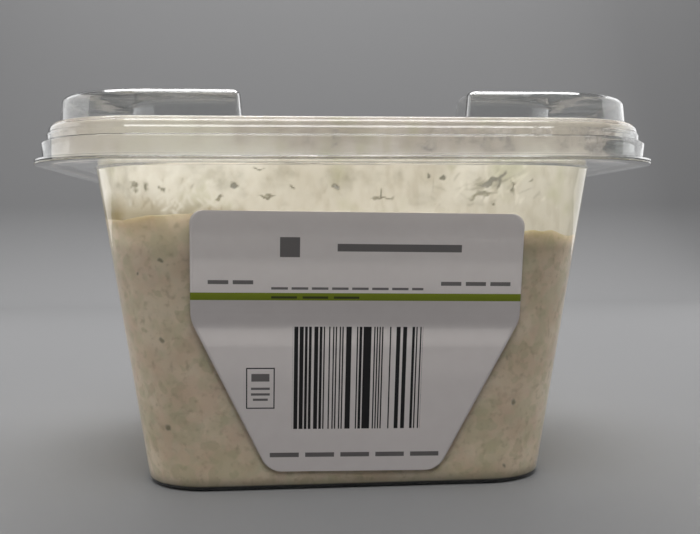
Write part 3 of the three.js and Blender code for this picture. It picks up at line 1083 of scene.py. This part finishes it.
def makeShreds(name, kind):
    # scattered evenly over the top, each turned at random and tilted a little
    rng = np.random.default_rng(kind["seed"])
    x, y = rng.uniform(-64, 64, (2, 2 * kind["count"]))
    depth = squareDepth(x, y, bodyHalf(salad["level"]), bodyRadius(salad["level"]))
    keep = depth > 0.5 * kind["length"][1] + 1.2
    x, y = x[keep][:kind["count"]], y[keep][:kind["count"]]
    count = len(x)
    z = topHeight(x, y) + kind["lift"] * rng.uniform(-0.5, 1, count)
    yaw, tilt = rng.uniform(0, 2 * math.pi, count), rng.normal(0, kind["steep"], count)
    direction = np.stack([np.cos(yaw) * np.cos(tilt), np.sin(yaw) * np.cos(tilt), np.sin(tilt)], -1)
    normal = rng.normal(0, 0.35, (count, 3)) + [0, 0, 1]
    normal = unit(normal - (normal * direction).sum(1, keepdims=True) * direction)
    shredMesh(name, kind, rng, np.stack([x, y, z], -1), direction, normal)


for shredName, shredKind in shredKinds.items():
    makeShreds(shredName, shredKind)
print("shreds scattered")


label = {
    "gap": 0.16,
    "thick": 0.12,
    "middle": 0.6,
    "tilt": -0.9,  # degrees
    "half": 42.1,
    "top": 73.3,  # along the wall from the table
    "waist": 45.6,
    "waistBlend": 0.35,  # softness of the turn at the waist
    "footHalf": 22.4,
    "foot": 4.95,
    "corner": 3.2,
    "ripple": (0.1, 0.05, 13, 9),  # mean stand-off, wave height, and mm a radian across and up
    "paper": "#f5eeec",
    "fibre": "#efe7e5",
    "green": "#8b9a1c",
    "ink": "#1d1c1e",
    "stripe": (0, 51.1, 60, 0.95),  # middle, half width and half height, past both edges
    "bars": (0.35, 29.9, 16.7, 13.5, 0.34),  # middle, half width and height, and module
    # shallow waves across the paper: middle, half width and height, in mm
    "waves": (
        (35.0, 6, -0.5), (40.4, 2.6, -0.9), (45.4, 2.6, 0.85), (49.2, 2.8, 1.0),
        (56.5, 4.5, -0.5), (63.5, 4.5, 0.35), (69.8, 3.9, 0.75),
    ),
    "dash": 0.82,  # share of the pitch that a dash fills
    "dashInk": 0.8,  # a light half tone against the solid bars
    # rows of plain dashes: x, z, half width, half height and pitch
    "marks": (
        (-17.3, 63.6, 2.5, 2.5, 20),
        (10.4, 63.6, 15.8, 0.95, 40),
        (-31.9, 54.7, 5.8, 0.5, 6.2),
        (30.4, 54.6, 9.2, 0.5, 6.4),
        (-2.6, 53.2, 19.3, 0.3, 5.1),
        (-10.6, 50.9, 11.3, 0.3, 7.9),
        (0.2, 9.4, 22.2, 0.6, 9.2),
        (-24.5, 30.1, 2.3, 1.0, 6),
        (-24.5, 27.2, 2.4, 0.3, 6),
        (-24.5, 25.7, 2.4, 0.3, 6),
        (-24.5, 24.3, 1.9, 0.3, 6),
    ),
    "frame": (-24.5, 27.3, 3.65, 5.4, 0.3),  # outlined box: middle, half width and height, and line
}


def labelHalf(s):
    # half width at a distance along the wall: slanted below the waist, straight above, and
    # rounded at the top and bottom corners
    slope = (label["half"] - label["footHalf"]) / (label["waist"] - label["foot"])
    slanted = label["footHalf"] + slope * (s - label["foot"])
    soft = label["waistBlend"]
    side = -soft * np.log(np.exp(-slanted / soft) + np.exp(-label["half"] / soft))
    r = label["corner"]
    topCut = r - np.sqrt(np.maximum(r * r - np.clip(s - label["top"] + r, 0, r) ** 2, 0))
    footCut = r - np.sqrt(np.maximum(r * r - np.clip(label["foot"] + r - s, 0, r) ** 2, 0))
    return side - topCut - footCut


def labelRipple(x, s):
    # how far the paper stands off the wall: a mean and one sine wave that runs slantwise
    mean, tall, across, up = label["ripple"]
    return mean + tall * np.sin(x / across + s / up)


def labelMaterial():
    # semi-matt coated paper, offset printed: a green rule, bars in black ink, and plain dashes and
    # an outlined box beside them; shallow waves across it catch the light
    material, tree, place = newMaterial("coatedPaperPrinted")
    turned = addNode(tree, "Mapping", {
        "Scale": (1000, 1000, 1000),
        "Rotation": (0, math.radians(label["tilt"]), 0),
        "Location": (-label["middle"], 0, 0),
        "Vector": place,
    })
    axes = addNode(tree, "SeparateXYZ", {0: turned})
    x, z = axes.outputs[0], axes.outputs[2]

    def box(middleX, middleZ, halfX, halfZ):
        # 1 inside a rectangle, 0 outside it
        inX = addNode(tree, "Math", {"operation": "COMPARE", 0: x, 1: middleX, 2: halfX})
        inZ = addNode(tree, "Math", {"operation": "COMPARE", 0: z, 1: middleZ, 2: halfZ})
        return addNode(tree, "Math", {"operation": "MULTIPLY", 0: inX, 1: inZ})

    *bounds, module = label["bars"]
    step = addNode(tree, "Math", {"operation": "DIVIDE", 0: x, 1: module})
    step = addNode(tree, "Math", {"operation": "FLOOR", 0: step})
    chance = addNode(tree, "TexWhiteNoise", {"noise_dimensions": "1D", "W": step})
    bars = addNode(tree, "Math", {"operation": "GREATER_THAN", 0: chance, 1: 0.5})
    ink = addNode(tree, "Math", {"operation": "MULTIPLY", 0: bars, 1: box(*bounds)})
    for middleX, middleZ, halfX, halfZ, pitch in label["marks"]:
        along = addNode(tree, "Math", {"operation": "SUBTRACT", 0: x, 1: middleX - halfX})
        along = addNode(tree, "Math", {"operation": "DIVIDE", 0: along, 1: pitch})
        part = addNode(tree, "Math", {"operation": "FRACT", 0: along})
        dash = addNode(tree, "Math", {"operation": "LESS_THAN", 0: part, 1: label["dash"]})
        area = box(middleX, middleZ, halfX, halfZ)
        mark = addNode(tree, "Math", {"operation": "MULTIPLY", 0: dash, 1: area})
        shade = {0: mark, 1: label["dashInk"], 2: ink}
        ink = addNode(tree, "Math", {"operation": "MULTIPLY_ADD", **shade})
    *middle, halfX, halfZ, line = label["frame"]
    outer, inner = box(*middle, halfX, halfZ), box(*middle, halfX - line, halfZ - line)
    rule = addNode(tree, "Math", {"operation": "SUBTRACT", 0: outer, 1: inner})
    fibre = addNode(tree, "TexNoise", {"Scale": 1 / (4 * mm), "Detail": 4, "Vector": place})
    patterns = {
        "fibre": fibre,
        "stripe": box(*label["stripe"]),
        "ink": addNode(tree, "Math", {"operation": "MAXIMUM", 0: ink, 1: rule}),
    }
    tints = (("fibre", label["paper"]), ("stripe", label["green"]), ("ink", label["ink"]))
    height = 0.0
    for middle, half, tall in label["waves"]:
        step = {"interpolation_type": "SMOOTHSTEP", 1: middle - half, 2: middle + half, 4: tall * mm}
        step = addNode(tree, "MapRange", {**step, 0: z})
        height = addNode(tree, "Math", {"operation": "ADD", 0: step, 1: height})
    wave = addNode(tree, "Bump", {"Strength": 1.0, "Distance": 1.0, "Height": height})
    tooth = {"Strength": 0.15, "Distance": 0.1 * mm, "Height": fibre, "Normal": wave}
    shader = addNode(tree, "BsdfPrincipled", {
        "Base Color": layered(tree, linear(label["fibre"]), patterns, tints),
        "Roughness": 0.45,
        "IOR": 1.5,
        "Specular IOR Level": 0.4,
        "Normal": addNode(tree, "Bump", tooth),
    })
    addNode(tree, "OutputMaterial", {"Surface": shader})
    return material


def makeLabel():
    # a sheet over the front wall: s runs up the slope, and x across at the width there
    foot, top, corner = label["foot"], label["top"], label["corner"]
    turn = np.linspace(0, quarter, 10)
    s = np.concatenate([
        foot + corner * (1 - np.cos(turn)),
        np.linspace(foot + corner, top - corner, 110)[1:-1],
        top - corner * (1 - np.sin(turn)),
    ])
    across = labelHalf(s)[:, None] * np.linspace(-1, 1, 90)
    up = np.broadcast_to(s[:, None], across.shape)
    c, t = math.cos(math.radians(label["tilt"])), math.sin(math.radians(label["tilt"]))
    x = label["middle"] + c * across - t * up
    tall = c * up + t * across
    lean = math.atan(tub["draft"])
    out = label["gap"] + labelRipple(x, tall)
    y = -tub["baseHalf"] - tall * math.sin(lean) - out * math.cos(lean)
    z = tall * math.cos(lean) - out * math.sin(lean)
    points = np.stack([x, y, z], -1).reshape(-1, 3)
    sheet = makeObject("paperLabel", points, [gridFaces(*across.shape)], labelMaterial())
    thicken = sheet.modifiers.new("paperThickness", "SOLIDIFY")
    thicken.thickness = label["thick"] * mm
    thicken.offset = -1
    addPiece(sheet, "label")


makeLabel()
print("label stuck on")
